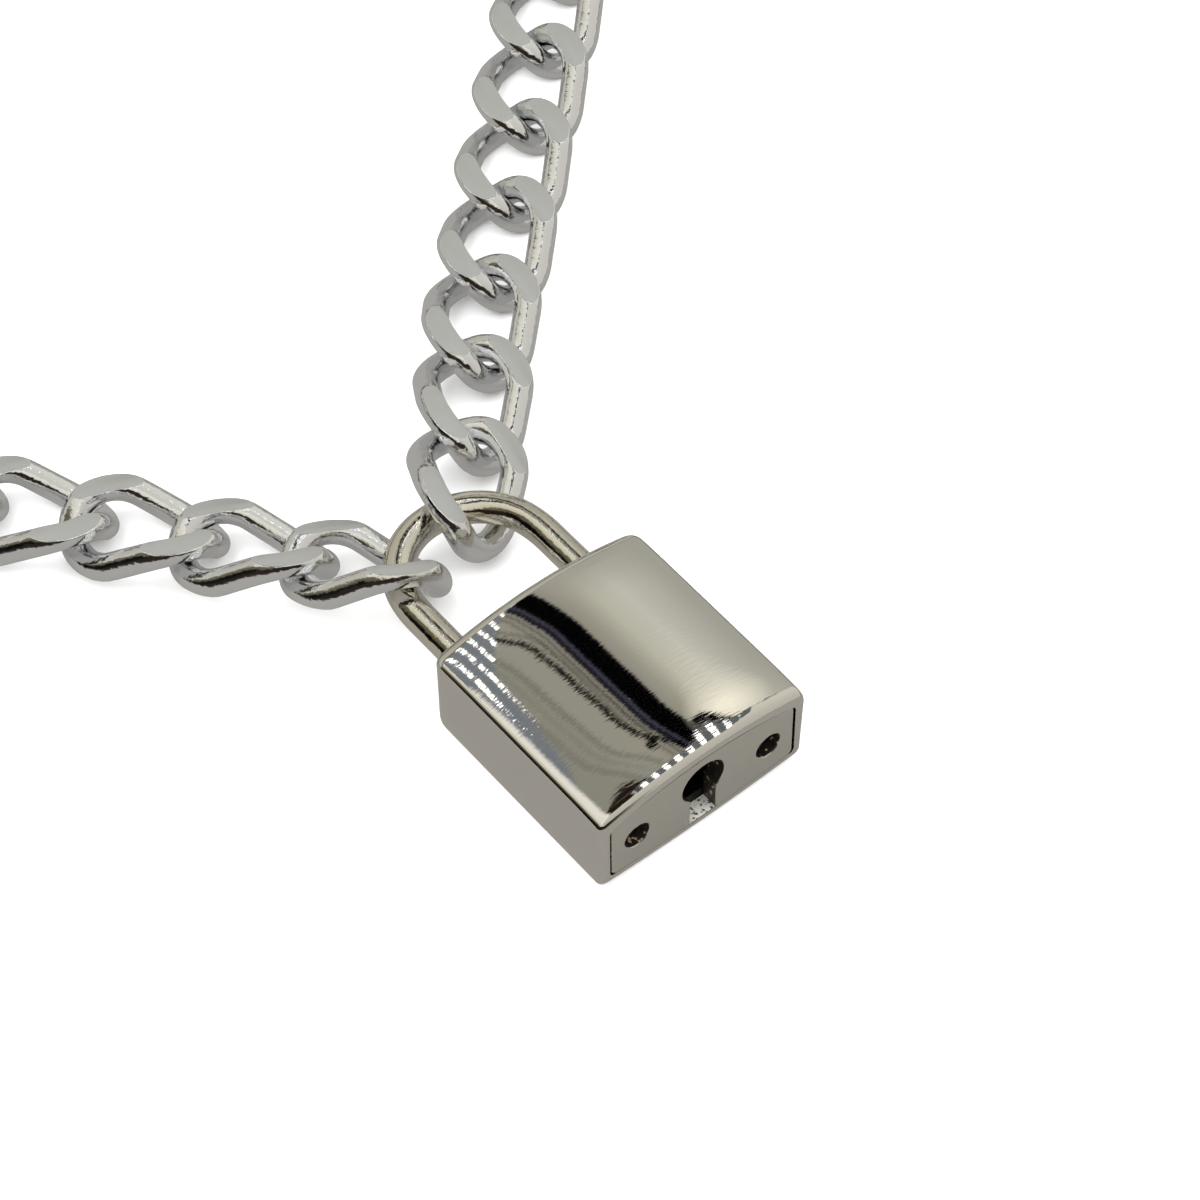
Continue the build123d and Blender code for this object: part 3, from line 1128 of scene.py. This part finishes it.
@dataclass
class CurbChain:
    """The chain: two visible strands from the shackle, and a plain round way between them.

    Args:
        shackle: The shackle that holds both end links.
        link: The link that the chain repeats.
        count: Its number of links.
        gap: Play between two links.
        table_gap: Distance between the links' flats and the table.
        left_start: The left strand's first place, as shares of a leg's distance and a link's length.
        right_start: The same for the right strand.
        left_rows: The left strand's visible links.
        right_rows: The right strand's.
    """

    shackle: Shackle
    link: CurbLink
    count: int = 50
    gap: float = 0.23
    table_gap: float = 0.04
    left_start: Pair = (-1.053, -0.031)
    right_start: Pair = (0.733, 0.0885)
    left_rows: tuple[StrandRow, ...] = (
        StrandRow(-37.0, 27.0, 1.003),
        StrandRow(-35.3, 19.4, 0.837),
        StrandRow(-38.7, 10.7, 0.695),
        StrandRow(-38.7, 7.2, 0.64),
        StrandRow(-38.8, 4.0, 0.58),
        StrandRow(-38.8, 1.4, 0.53),
    )
    right_rows: tuple[StrandRow, ...] = (
        StrandRow(40.6, 25.6, 0.991),
        StrandRow(42.3, 18.3, 0.815),
        StrandRow(46.9, 10.1, 0.68),
        StrandRow(47.1, 3.2, 0.565),
        StrandRow(47.6, 0.8, 0.525),
        StrandRow(47.6, 0.3, 0.515),
    )

    @property
    def pitch(self) -> float:
        """Distance between the centres of two links, in millimetres."""
        return self.link.length - 4 * self.link.wire_radius - self.gap

    @property
    def flat_height(self) -> float:
        """Height of a flat link's centre, in millimetres."""
        return self.table_gap + self.link.flat_thickness / 2

    def strand(
        self, start: Pair, rows: Sequence[StrandRow]
    ) -> tuple[list[tuple[Vector, float]], Vector, float]:
        """Places a strand's visible links.

        Args:
            start: The first link's place, as shares of a leg's distance and of the link's length.
            rows: The links' rows.

        Returns:
            Each link's centre and roll, the place after the last one, and the heading there.
        """
        x = start[0] * self.shackle.case.leg_x
        y = self.shackle.bow_top + start[1] * self.link.length
        heights = [row.height * self.link.flat_thickness for row in rows] + [self.flat_height]
        placed = []
        for row, height, next_height in zip(rows, heights, heights[1:]):
            placed.append((Vector((x, y, height)), row.roll))
            level_step = sqrt(self.pitch ** 2 - (next_height - height) ** 2)
            x += level_step * sin(radians(row.heading))
            y += level_step * cos(radians(row.heading))
        return placed, Vector((x, y, self.flat_height)), radians(rows[-1].heading)

    def hidden(
        self, left: Vector, left_way: float, right: Vector, right_way: float, count: int
    ) -> list[Vector]:
        """Places the links out of sight: two straight runs on one round arc that joins them.

        Args:
            left: Where the left run starts.
            left_way: Its heading, in radians.
            right: Where the right run starts.
            right_way: Its heading, in radians.
            count: The number of links.

        Returns:
            The links' centres, from left to right.
        """
        half_angle = (right_way - left_way) / 2
        cross = sin(right_way - left_way)
        across = right - left
        left_run = (across.x * cos(right_way) - across.y * sin(right_way)) / cross
        right_run = (across.x * cos(left_way) - across.y * sin(left_way)) / cross
        meeting = left - left_run * heading(left_way)
        path_length = (count - 1) * self.pitch
        arc_turn = pi + 2 * half_angle
        radius = (path_length + left_run + right_run) / (2 / tan(half_angle) + arc_turn)
        left_straight = radius / tan(half_angle) - left_run
        centre = meeting + radius / sin(half_angle) * heading((left_way + right_way) / 2)
        places = []
        for number in range(count):
            along = number * self.pitch
            if along <= left_straight:
                places.append(left + along * heading(left_way))
            elif along <= left_straight + radius * arc_turn:
                turned = left_way + (along - left_straight) / radius - pi / 2
                places.append(centre + radius * heading(turned))
            else:
                places.append(right + (path_length - along) * heading(right_way))
        return places

    def places(self) -> list[Matrix]:
        """Where every link stands, in the lock's millimetres, from the left strand's first on."""
        left, left_end, left_way = self.strand(self.left_start, self.left_rows)
        right, right_end, right_way = self.strand(self.right_start, self.right_rows)
        hidden_count = self.count - len(left) - len(right)
        hidden = self.hidden(left_end, left_way, right_end, right_way, hidden_count)
        route = left + [(place, 0.0) for place in hidden] + right[::-1]
        made = []
        for number, (place, roll) in enumerate(route):
            before = route[max(number - 1, 0)][0]
            after = route[min(number + 1, len(route) - 1)][0]
            along = (after - before).normalized()
            side = Vector((0, 0, 1)).cross(along).normalized()
            stand = Matrix((along, side, along.cross(side))).transposed().to_4x4()
            seen_roll = roll if number < self.count // 2 else -roll
            made.append(Matrix.Translation(place) @ stand @ Matrix.Rotation(radians(seen_roll), 4, "X"))
        return made

    def build(self) -> None:
        """Builds the two halves, each a joined row of links."""
        places = self.places()
        half = self.count // 2
        link = self.link.mesh()
        for strand, stands in ((Strand.LEFT, places[:half]), (Strand.RIGHT, places[half:])):
            shape = bmesh.new()
            for stand in stands:
                known = len(shape.verts)
                shape.from_mesh(link)
                shape.verts.ensure_lookup_table()
                bmesh.ops.transform(shape, matrix=stand, verts=shape.verts[known:])
            name = f"{strand.value}_links"
            finished(shape, name, [BRIGHT_CHAIN, CUT_FLAT], Body.NECKLACE, strand.value)
        bpy.data.meshes.remove(link)


class SkyPainter(NodeKit):
    """Paints the world in layers, by the parts of the direction that is looked in.

    East is across the lock and north is towards its shackle. Where a cover has an edge, the edge's
    first number is where the cover starts and its second one where the cover is full.
    """

    def __init__(self, tree: bpy.types.NodeTree) -> None:
        """Splits the direction into its parts, over a dark sky."""
        super().__init__(tree)
        self.way = self.node("TexCoord", {}).outputs["Generated"]
        self.east, self.north, self.up = self.node("SeparateXYZ", {0: self.way}).outputs
        self.sky: Value = DARK

    def lay(self, cover: Value, colour: Value, blend: str = "MIX") -> None:
        """Lays a colour over the sky so far, wherever the cover is 1."""
        self.sky = self.mix(cover, self.sky, colour, blend)

    def slant(self, east: float, north: float, shift: float) -> Socket:
        """A measure that grows by given rates to the east and the north, from a shift."""
        eastward = self.maths("MULTIPLY", self.east, east)
        northward = self.maths("MULTIPLY", self.north, north)
        return self.maths("ADD", self.maths("ADD", eastward, northward), shift)

    def both(self, *covers: Socket) -> Socket:
        """The part of the sky that lies under every one of some covers."""
        made = covers[0]
        for cover in covers[1:]:
            made = self.maths("MULTIPLY", made, cover)
        return made

    def ramp(self, value: Socket, stops: Sequence[tuple[float, Colour]]) -> Socket:
        """Colours by a value, from stops in rising order with their colours."""
        low, high = stops[0][0], stops[-1][0]
        node = self.node("ValToRGB", {"Fac": self.rise(value, low, high)})
        elements = node.color_ramp.elements
        while len(elements) < len(stops):
            elements.new(0.5)
        for element, (level, colour) in zip(elements, stops):
            element.position = (level - low) / (high - low)
            element.color = (*colour, 1.0)
        return node.outputs["Color"]

    def curve(self, points: Sequence[Pair]) -> Socket:
        """A value that follows points from west to east, each a place and the value there."""
        return self.ramp(self.east, [(place, (value, value, value)) for place, value in points])


class SkyPart(ABC):
    """One part of the sky, which lies over the parts before it."""

    @abstractmethod
    def paint(self, brush: SkyPainter) -> None:
        """Paints the part over the sky so far."""


@dataclass(frozen=True)
class Walls(SkyPart):
    """Slanting bands: a grey wall in the west, a black gap, and a pale wall in the east.

    Args:
        rates: The bands' measure: its rates to the east and the north, and its shift.
        west: The grey wall and the gap: measures in rising order, each with its colour.
        near: The pale wall in the south.
        far: The pale wall in the north.
        far_edge: The edge of the northern one, to the north.
        lines: Place, half the width and the shade of each thin line on the grey wall.
        line_rates: The rates and the shift of the lines' own measure.
        line_ends: That measure at the two ends of the wall.
        line_fade: Reach of a line's soft edge, as a share of half its width.
        line_edge: The edge of the lines, in the bands' measure.
    """

    rates: Triple = (1 / 0.039, 12.0, -15.36)
    west: Stops = (
        (-12.0, (0.32, 0.32, 0.27)),
        (-8.0, (0.34, 0.335, 0.285)),
        (-6.3, (0.38, 0.375, 0.325)),
        (-4.4, (0.39, 0.38, 0.32)),
        (-3.9, (0.34, 0.33, 0.28)),
        (-3.7, (0.20, 0.19, 0.16)),
        (-3.5, (0.33, 0.32, 0.27)),
        (-3.25, (0.31, 0.30, 0.25)),
        (-3.1, (0.13, 0.11, 0.10)),
        (-2.95, (0.30, 0.29, 0.25)),
        (-2.75, (0.28, 0.27, 0.23)),
        (-2.6, (0.02, 0.02, 0.03)),
        (-2.25, (0.012, 0.012, 0.02)),
        (-2.1, (0.065, 0.062, 0.085)),
        (-1.9, (0.05, 0.047, 0.07)),
        (-1.75, DARK),
        (-0.05, DARK),
        (0.2, (0.36, 0.35, 0.30)),
    )
    near: Stops = (
        (1.3, (0.43, 0.42, 0.355)),
        (3.0, (0.63, 0.625, 0.535)),
        (4.9, (0.69, 0.69, 0.63)),
        (6.8, (0.58, 0.575, 0.52)),
        (8.3, (0.475, 0.47, 0.42)),
        (11.5, (0.46, 0.455, 0.41)),
    )
    far: Stops = ((1.3, (0.43, 0.42, 0.36)), (3.0, (0.48, 0.475, 0.42)), (11.5, (0.46, 0.455, 0.41)))
    far_edge: Pair = (0.47, 0.55)
    lines: tuple[Triple, ...] = (
        (0.60, 0.012, 0.80), (0.655, 0.010, 0.87), (0.70, 0.010, 0.72), (0.812, 0.009, 0.03),
        (0.850, 0.007, 0.6),
    )
    line_rates: Triple = (1.0, 1.3, 0.0)
    line_ends: Pair = (0.50, 1.0)
    line_fade: float = 1.6
    line_edge: Pair = (-1.7, -2.2)

    def paint(self, brush: SkyPainter) -> None:
        """Paints the bands, and the thin lines over the grey ones."""
        measure = brush.slant(*self.rates)
        brush.sky = brush.ramp(measure, self.west + self.near)
        brush.lay(brush.rise(brush.north, *self.far_edge), brush.ramp(measure, self.west + self.far))
        stops = [(self.line_ends[0], WHITE)]
        for place, half, shade in self.lines:
            reach, grey = self.line_fade * half, (shade, shade, shade)
            stops += [(place - reach, WHITE), (place - half, grey)]
            stops += [(place + half, grey), (place + reach, WHITE)]
        stops.append((self.line_ends[1], WHITE))
        shades = brush.ramp(brush.slant(*self.line_rates), stops)
        brush.lay(brush.rise(measure, *self.line_edge), shades, "MULTIPLY")


@dataclass(frozen=True)
class Oval(SkyPart):
    """A soft oval.

    Args:
        place: Its middle, to the east and the north.
        reach: Its reach to the east and the north.
        edge: Its edge, as shares of that reach.
        colour: Its colour.
    """

    place: Pair
    reach: Pair
    edge: Pair
    colour: Colour

    def paint(self, brush: SkyPainter) -> None:
        """Paints the oval."""
        (east, north), (across, along) = self.place, self.reach
        eastward = brush.maths("POWER", brush.slant(1 / across, 0.0, -east / across), 2.0)
        northward = brush.maths("POWER", brush.slant(0.0, 1 / along, -north / along), 2.0)
        away = brush.maths("SQRT", brush.maths("ADD", eastward, northward))
        brush.lay(brush.rise(away, *self.edge), self.colour)


@dataclass(frozen=True)
class LampRows:
    """Rows of small square lamps.

    Args:
        pitch: Distance between two lamps to the east and the north.
        half: Half of a lamp's width, as a share of those distances.
        first: The first lamp's place, to the east and the north.
        blur: Half of the width of a lamp's soft edge, as a share of those distances.
        light: Their light.
    """

    pitch: Pair
    half: float
    first: Pair = (0.01, 0.48)
    blur: float = 0.03
    light: Colour = (4.5, 4.5, 4.4)

    def light_up(self, brush: SkyPainter, *covers: Socket) -> None:
        """Paints the lamps that lie under every one of some covers."""
        for value, first, pitch in zip((brush.east, brush.north), self.first, self.pitch):
            cell = brush.maths("DIVIDE", brush.maths("SUBTRACT", value, first - pitch / 2), pitch)
            off = brush.maths("ABSOLUTE", brush.maths("SUBTRACT", brush.maths("FRACT", cell), 0.5))
            covers += (brush.rise(off, self.half + self.blur, self.half - self.blur),)
        brush.lay(brush.both(*covers), self.light)


@dataclass(frozen=True)
class WestPanel(SkyPart):
    """The blue panel of lamps in the north-west.

    Args:
        steep: Its eastern edge's rates and shift, in the south.
        shallow: The same in the north.
        edge: Its edge, to the east of those lines.
        colour: Its colour between the lamps.
        lamps: Its lamps.
        lamp_edge: The lamps' edge, to the north.
    """

    steep: Triple = (0.0, 1 / 0.55, -0.465 / 0.55)
    shallow: Triple = (0.0, 0.45, -0.247)
    edge: Pair = (0.005, -0.005)
    colour: Colour = (0.225, 0.25, 0.28)
    lamps: LampRows = LampRows((0.050, 0.025), 0.17)
    lamp_edge: Pair = (0.472, 0.478)

    def paint(self, brush: SkyPainter) -> None:
        """Paints the panel and its lamps."""
        line = brush.maths("MAXIMUM", brush.slant(*self.steep), brush.slant(*self.shallow))
        inside = brush.rise(brush.maths("SUBTRACT", brush.east, line), *self.edge)
        brush.lay(inside, self.colour)
        self.lamps.light_up(brush, inside, brush.rise(brush.north, *self.lamp_edge))


@dataclass(frozen=True)
class SouthPanel(SkyPart):
    """What the mouth's rounded edge shows: a panel of lamps over a pale wall.

    Args:
        top: How far north the wall reaches, from west to east.
        top_edge: Its edge, to the north of there.
        hook_width: Width of the dark gap's hook beyond it, from west to east.
        hook_edge: The hook's outer edge.
        hook_start: The edge of the hook, to the east.
        wall: The wall's colours, from south to north.
        foot: How far north the panel starts in the west.
        foot_rise: How much farther north it starts in the east.
        foot_turn: Where that rise starts and ends, to the east.
        foot_edge: The edge of the panel, to the north of there.
        colour: Its colour between the lamps.
        lamps: Its lamps.
        lamp_edge: The lamps' edge, to the east.
        brown_edge: The edge of its brown part, to the east.
    """

    top: tuple[Pair, ...] = (
        (0.10, 0.300), (0.34, 0.338), (0.43, 0.370), (0.47, 0.370), (0.51, 0.355), (0.56, 0.341),
        (0.70, 0.337),
    )
    top_edge: Pair = (0.004, -0.004)
    hook_width: tuple[Pair, ...] = ((0.40, 0.028), (0.48, 0.024), (0.53, 0.010), (0.60, 0.005), (0.75, 0.003))
    hook_edge: Pair = (0.004, 0.0)
    hook_start: Pair = (0.40, 0.43)
    wall: Stops = ((-0.9, (0.60, 0.58, 0.52)), (0.3, (0.76, 0.74, 0.66)))
    foot: float = -0.2
    foot_rise: float = 0.56
    foot_turn: Pair = (0.5, 0.62)
    foot_edge: Pair = (0.0, 0.02)
    colour: Colour = (0.15, 0.16, 0.17)
    lamps: LampRows = LampRows((0.056, 0.042), 0.21)
    lamp_edge: Pair = (0.57, 0.53)
    brown_edge: Pair = (0.12, 0.06)

    def paint(self, brush: SkyPainter) -> None:
        """Paints the hook, the wall, and the panel with its lamps."""
        above = brush.maths("SUBTRACT", brush.north, brush.curve(self.top))
        beyond = brush.maths("SUBTRACT", above, brush.curve(self.hook_width))
        hook = brush.both(brush.rise(beyond, *self.hook_edge), brush.rise(brush.east, *self.hook_start))
        brush.lay(hook, DARK)
        south = brush.rise(above, *self.top_edge)
        brush.lay(south, brush.ramp(brush.north, self.wall))
        farther = brush.maths("MULTIPLY", brush.rise(brush.east, *self.foot_turn), self.foot_rise)
        foot = brush.maths("ADD", farther, self.foot)
        panel = brush.both(south, brush.rise(brush.maths("SUBTRACT", brush.north, foot), *self.foot_edge))
        brush.lay(panel, self.colour)
        self.lamps.light_up(brush, panel, brush.rise(brush.east, *self.lamp_edge))
        brush.lay(brush.both(panel, brush.rise(brush.east, *self.brown_edge)), BROWN)


@dataclass(frozen=True)
class FarWest(SkyPart):
    """What the case's left long edge and its left side show.

    Args:
        colours: Its colours, from west to east.
        rates: How its edge moves: rates to the east and the north, and a shift.
        edge: Its edge, to the east.
    """

    colours: Stops = (
        (-0.90, DARK), (-0.80, DARK), (-0.74, (0.12, 0.11, 0.07)), (-0.56, (0.16, 0.145, 0.10)),
        (-0.50, (0.66, 0.63, 0.52)), (-0.30, (0.80, 0.77, 0.66)), (-0.15, (0.80, 0.77, 0.68)),
        (-0.06, (1.05, 1.02, 0.95)),
    )
    rates: Triple = (0.0, 0.9, -0.42)
    edge: Pair = (-0.052, -0.068)

    def paint(self, brush: SkyPainter) -> None:
        """Paints the far west."""
        shift = brush.maths("MAXIMUM", brush.slant(*self.rates), 0.0)
        cover = brush.rise(brush.maths("ADD", brush.east, shift), *self.edge)
        brush.lay(cover, brush.ramp(brush.east, self.colours))


@dataclass(frozen=True)
class Crown(SkyPart):
    """What the rounding into the closed end shows, beyond the walls.

    Args:
        colours: Its colours, from south to north.
        edge: Its edge, to the north.
    """

    colours: Stops = (
        (0.64, (0.16, 0.15, 0.12)), (0.66, (0.16, 0.15, 0.12)), (0.70, (0.60, 0.58, 0.50)),
        (1.0, (0.48, 0.46, 0.40)),
    )
    edge: Pair = (0.635, 0.65)

    def paint(self, brush: SkyPainter) -> None:
        """Paints the crown."""
        brush.lay(brush.rise(brush.north, *self.edge), brush.ramp(brush.north, self.colours))


@dataclass(frozen=True)
class DarkSide(SkyPart):
    """The dark side of the room.

    Args:
        azimuth: Its way from the lock, from the south towards the east, in degrees.
        height_rate: How its measure changes with height.
        edge: Its edge.
        east_edge: Its edge to the east.
    """

    azimuth: float
    height_rate: float = -0.9
    edge: Pair = (0.18, 0.30)
    east_edge: Pair = (0.25, 0.10)

    def paint(self, brush: SkyPainter) -> None:
        """Paints the dark side."""
        azimuth = radians(self.azimuth)
        inputs = {0: brush.way, 1: (sin(azimuth), -cos(azimuth), self.height_rate)}
        towards = brush.node("VectorMath", inputs, operation="DOT_PRODUCT").outputs["Value"]
        brush.lay(brush.both(brush.rise(towards, *self.edge), brush.rise(brush.east, *self.east_edge)), BROWN)


@dataclass(frozen=True)
class Horizon(SkyPart):
    """The dark round the horizon, open in the south-east.

    Args:
        edge: Its upper edge.
        open_east: The edge of its open part, to the east.
        open_south: The same, to the north.
        colour: Its colour.
    """

    edge: Pair = (0.10, 0.05)
    open_east: Pair = (0.10, 0.25)
    open_south: Pair = (-0.4, -0.6)
    colour: Colour = (0.05, 0.045, 0.035)

    def paint(self, brush: SkyPainter) -> None:
        """Paints the horizon."""
        east, south = brush.rise(brush.east, *self.open_east), brush.rise(brush.north, *self.open_south)
        closed = brush.maths("SUBTRACT", 1.0, brush.both(east, south))
        brush.lay(brush.both(brush.rise(brush.up, *self.edge), closed), self.colour)


@dataclass(frozen=True)
class SoftLight:
    """A square soft light that points at the lock and that no reflection shows.

    Args:
        name: Its name.
        place: Its place, in metres from the lock.
        size: The length of its side, in metres.
        power: Its power, in watts.
    """

    name: str
    place: Triple
    size: float
    power: float

    def build(self) -> None:
        """Adds the light."""
        data = bpy.data.lights.new(self.name, "AREA")
        data.energy = self.power
        data.size = self.size
        lamp = add_object(self.name, data)
        lamp.location = lock_place().translation + Vector(self.place)
        lamp.rotation_euler = (-Vector(self.place)).to_track_quat("-Z", "Y").to_euler()
        lamp.visible_glossy = False


@dataclass(frozen=True)
class Floor:
    """A level matt square that is part of the studio.

    Args:
        name: Its name.
        finish: Its material's name.
        colour: Its colour.
        height: Its height, in metres.
        unseen: The rays that don't meet it.
        size: The length of its side, in metres.
    """

    name: str
    finish: str
    colour: Colour
    height: float
    unseen: tuple[str, ...]
    size: float = 4.0

    def build(self) -> None:
        """Adds the floor."""
        matt = bpy.data.materials.new(self.finish)
        matt.use_nodes = True
        kit = NodeKit(matt.node_tree)
        inputs = matt.node_tree.nodes["Principled BSDF"].inputs
        for place, value in (("Base Color", self.colour), ("Roughness", 1.0), ("Specular IOR Level", 0.0)):
            kit.put(inputs[place], value)
        shape = bmesh.new()
        bmesh.ops.create_grid(shape, x_segments=1, y_segments=1, size=self.size / 2)
        bmesh.ops.translate(shape, verts=shape.verts, vec=(0, 0, self.height))
        mesh = mesh_of(shape, self.name)
        mesh.materials.append(matt)
        made = add_object(self.name, mesh)
        for ray in self.unseen:
            setattr(made, f"visible_{ray}", False)


@dataclass(frozen=True)
class Studio:
    """The camera, the sky, the floors and the lights round the necklace.

    Args:
        azimuth: The camera's way round the lock, in degrees.
        elevation: Its height over the floor, in degrees.
        roll: Its turn about its own line of sight, in degrees.
        distance: Its distance from the target, in millimetres.
        target: The point of the floor that it looks at, in the lock's millimetres.
        lens: Its focal length, in millimetres.
        sensor: The width of its sensor, in millimetres.
        clip: The nearest and the farthest that it sees, in metres.
        sky_light: Strength of the plain white sky that lights everything but reflections.
        floors: The pale floor, and a darker one that only reflections show.
        lights: The lights.
    """

    azimuth: float = -38.68
    elevation: float = 52.81
    roll: float = -0.63
    distance: float = 317.9
    target: Pair = (7.40, 21.48)
    lens: float = 120.0
    sensor: float = 36.0
    clip: Pair = (0.01, 20.0)
    sky_light: float = 1.6
    floors: tuple[Floor, ...] = (
        Floor("floor", "pale_floor", (0.93, 0.93, 0.93), -0.00001, ("glossy", "shadow")),
        Floor(
            "reflected_floor", "mirrored_floor", (0.196, 0.190, 0.176), -0.0004,
            ("camera", "diffuse", "shadow"),
        ),
    )
    lights: tuple[SoftLight, ...] = (
        SoftLight("key_light", (-0.25, 0.15, 0.6), 0.5, 3.0),
        SoftLight("fill_light", (0.4, -0.2, 0.5), 0.6, 2.0),
    )

    def camera(self) -> None:
        """Sets the scene's camera at the photographed angle."""
        round_z, up = radians(self.azimuth), radians(self.elevation)
        back = Vector((sin(round_z) * cos(up), -cos(round_z) * cos(up), sin(up)))
        right = (-back).cross(Vector((0, 0, 1))).normalized()
        above = right.cross(-back)
        roll = radians(self.roll)
        turned_right = cos(roll) * right + sin(roll) * above
        turned_above = -sin(roll) * right + cos(roll) * above
        stand = Matrix((turned_right, turned_above, back)).transposed().to_4x4()
        stand.translation = lock_place() @ (Vector((*self.target, 0)) + back * self.distance)
        data = bpy.data.cameras.new("camera")
        data.lens = self.lens
        data.sensor_width = self.sensor
        data.clip_start, data.clip_end = self.clip
        camera = add_object("camera", data)
        camera.matrix_world = stand
        bpy.context.scene.camera = camera

    def sky(self) -> None:
        """Makes the world: the painted sky for reflections, and plain white for everything else."""
        world = bpy.data.worlds.new("studio_sky")
        bpy.context.scene.world = world
        world.use_nodes = True
        world.node_tree.nodes.clear()
        brush = SkyPainter(world.node_tree)
        for part in (
            Walls(),
            Oval((0.256, 0.401), (0.024, 0.012), (1.1, 0.8), DARK),
            Oval((0.55, 0.385), (0.12, 0.055), (1.3, 0.2), (1.20, 1.16, 0.98)),
            Oval((0.055, 0.31), (0.095, 0.055), (1.03, 0.97), BROWN),
            WestPanel(),
            SouthPanel(),
            FarWest(),
            Crown(),
            DarkSide(self.azimuth),
            Horizon(),
        ):
            part.paint(brush)
        plain = brush.node("Background", {"Color": WHITE, "Strength": self.sky_light})
        painted = brush.node("Background", {"Color": brush.sky})
        glossy = brush.node("LightPath", {}).outputs["Is Glossy Ray"]
        choice = brush.node("MixShader", {0: glossy, 1: plain.outputs[0], 2: painted.outputs[0]})
        brush.node("OutputWorld", {"Surface": choice.outputs["Shader"]})

    def build(self) -> None:
        """Sets up the whole studio."""
        self.camera()
        for item in (*self.floors, *self.lights):
            item.build()
        self.sky()
        bpy.context.scene.view_settings.view_transform = "Standard"


def main() -> None:
    """Builds the studio, and the necklace piece by piece."""
    logging.basicConfig(level=logging.INFO, format="%(name)s: %(message)s")
    Studio().build()
    case = LockCase()
    case.build()
    shackle = Shackle(case)
    shackle.build()
    CurbChain(shackle, CurbLink()).build()


if __name__ == "__main__":
    main()
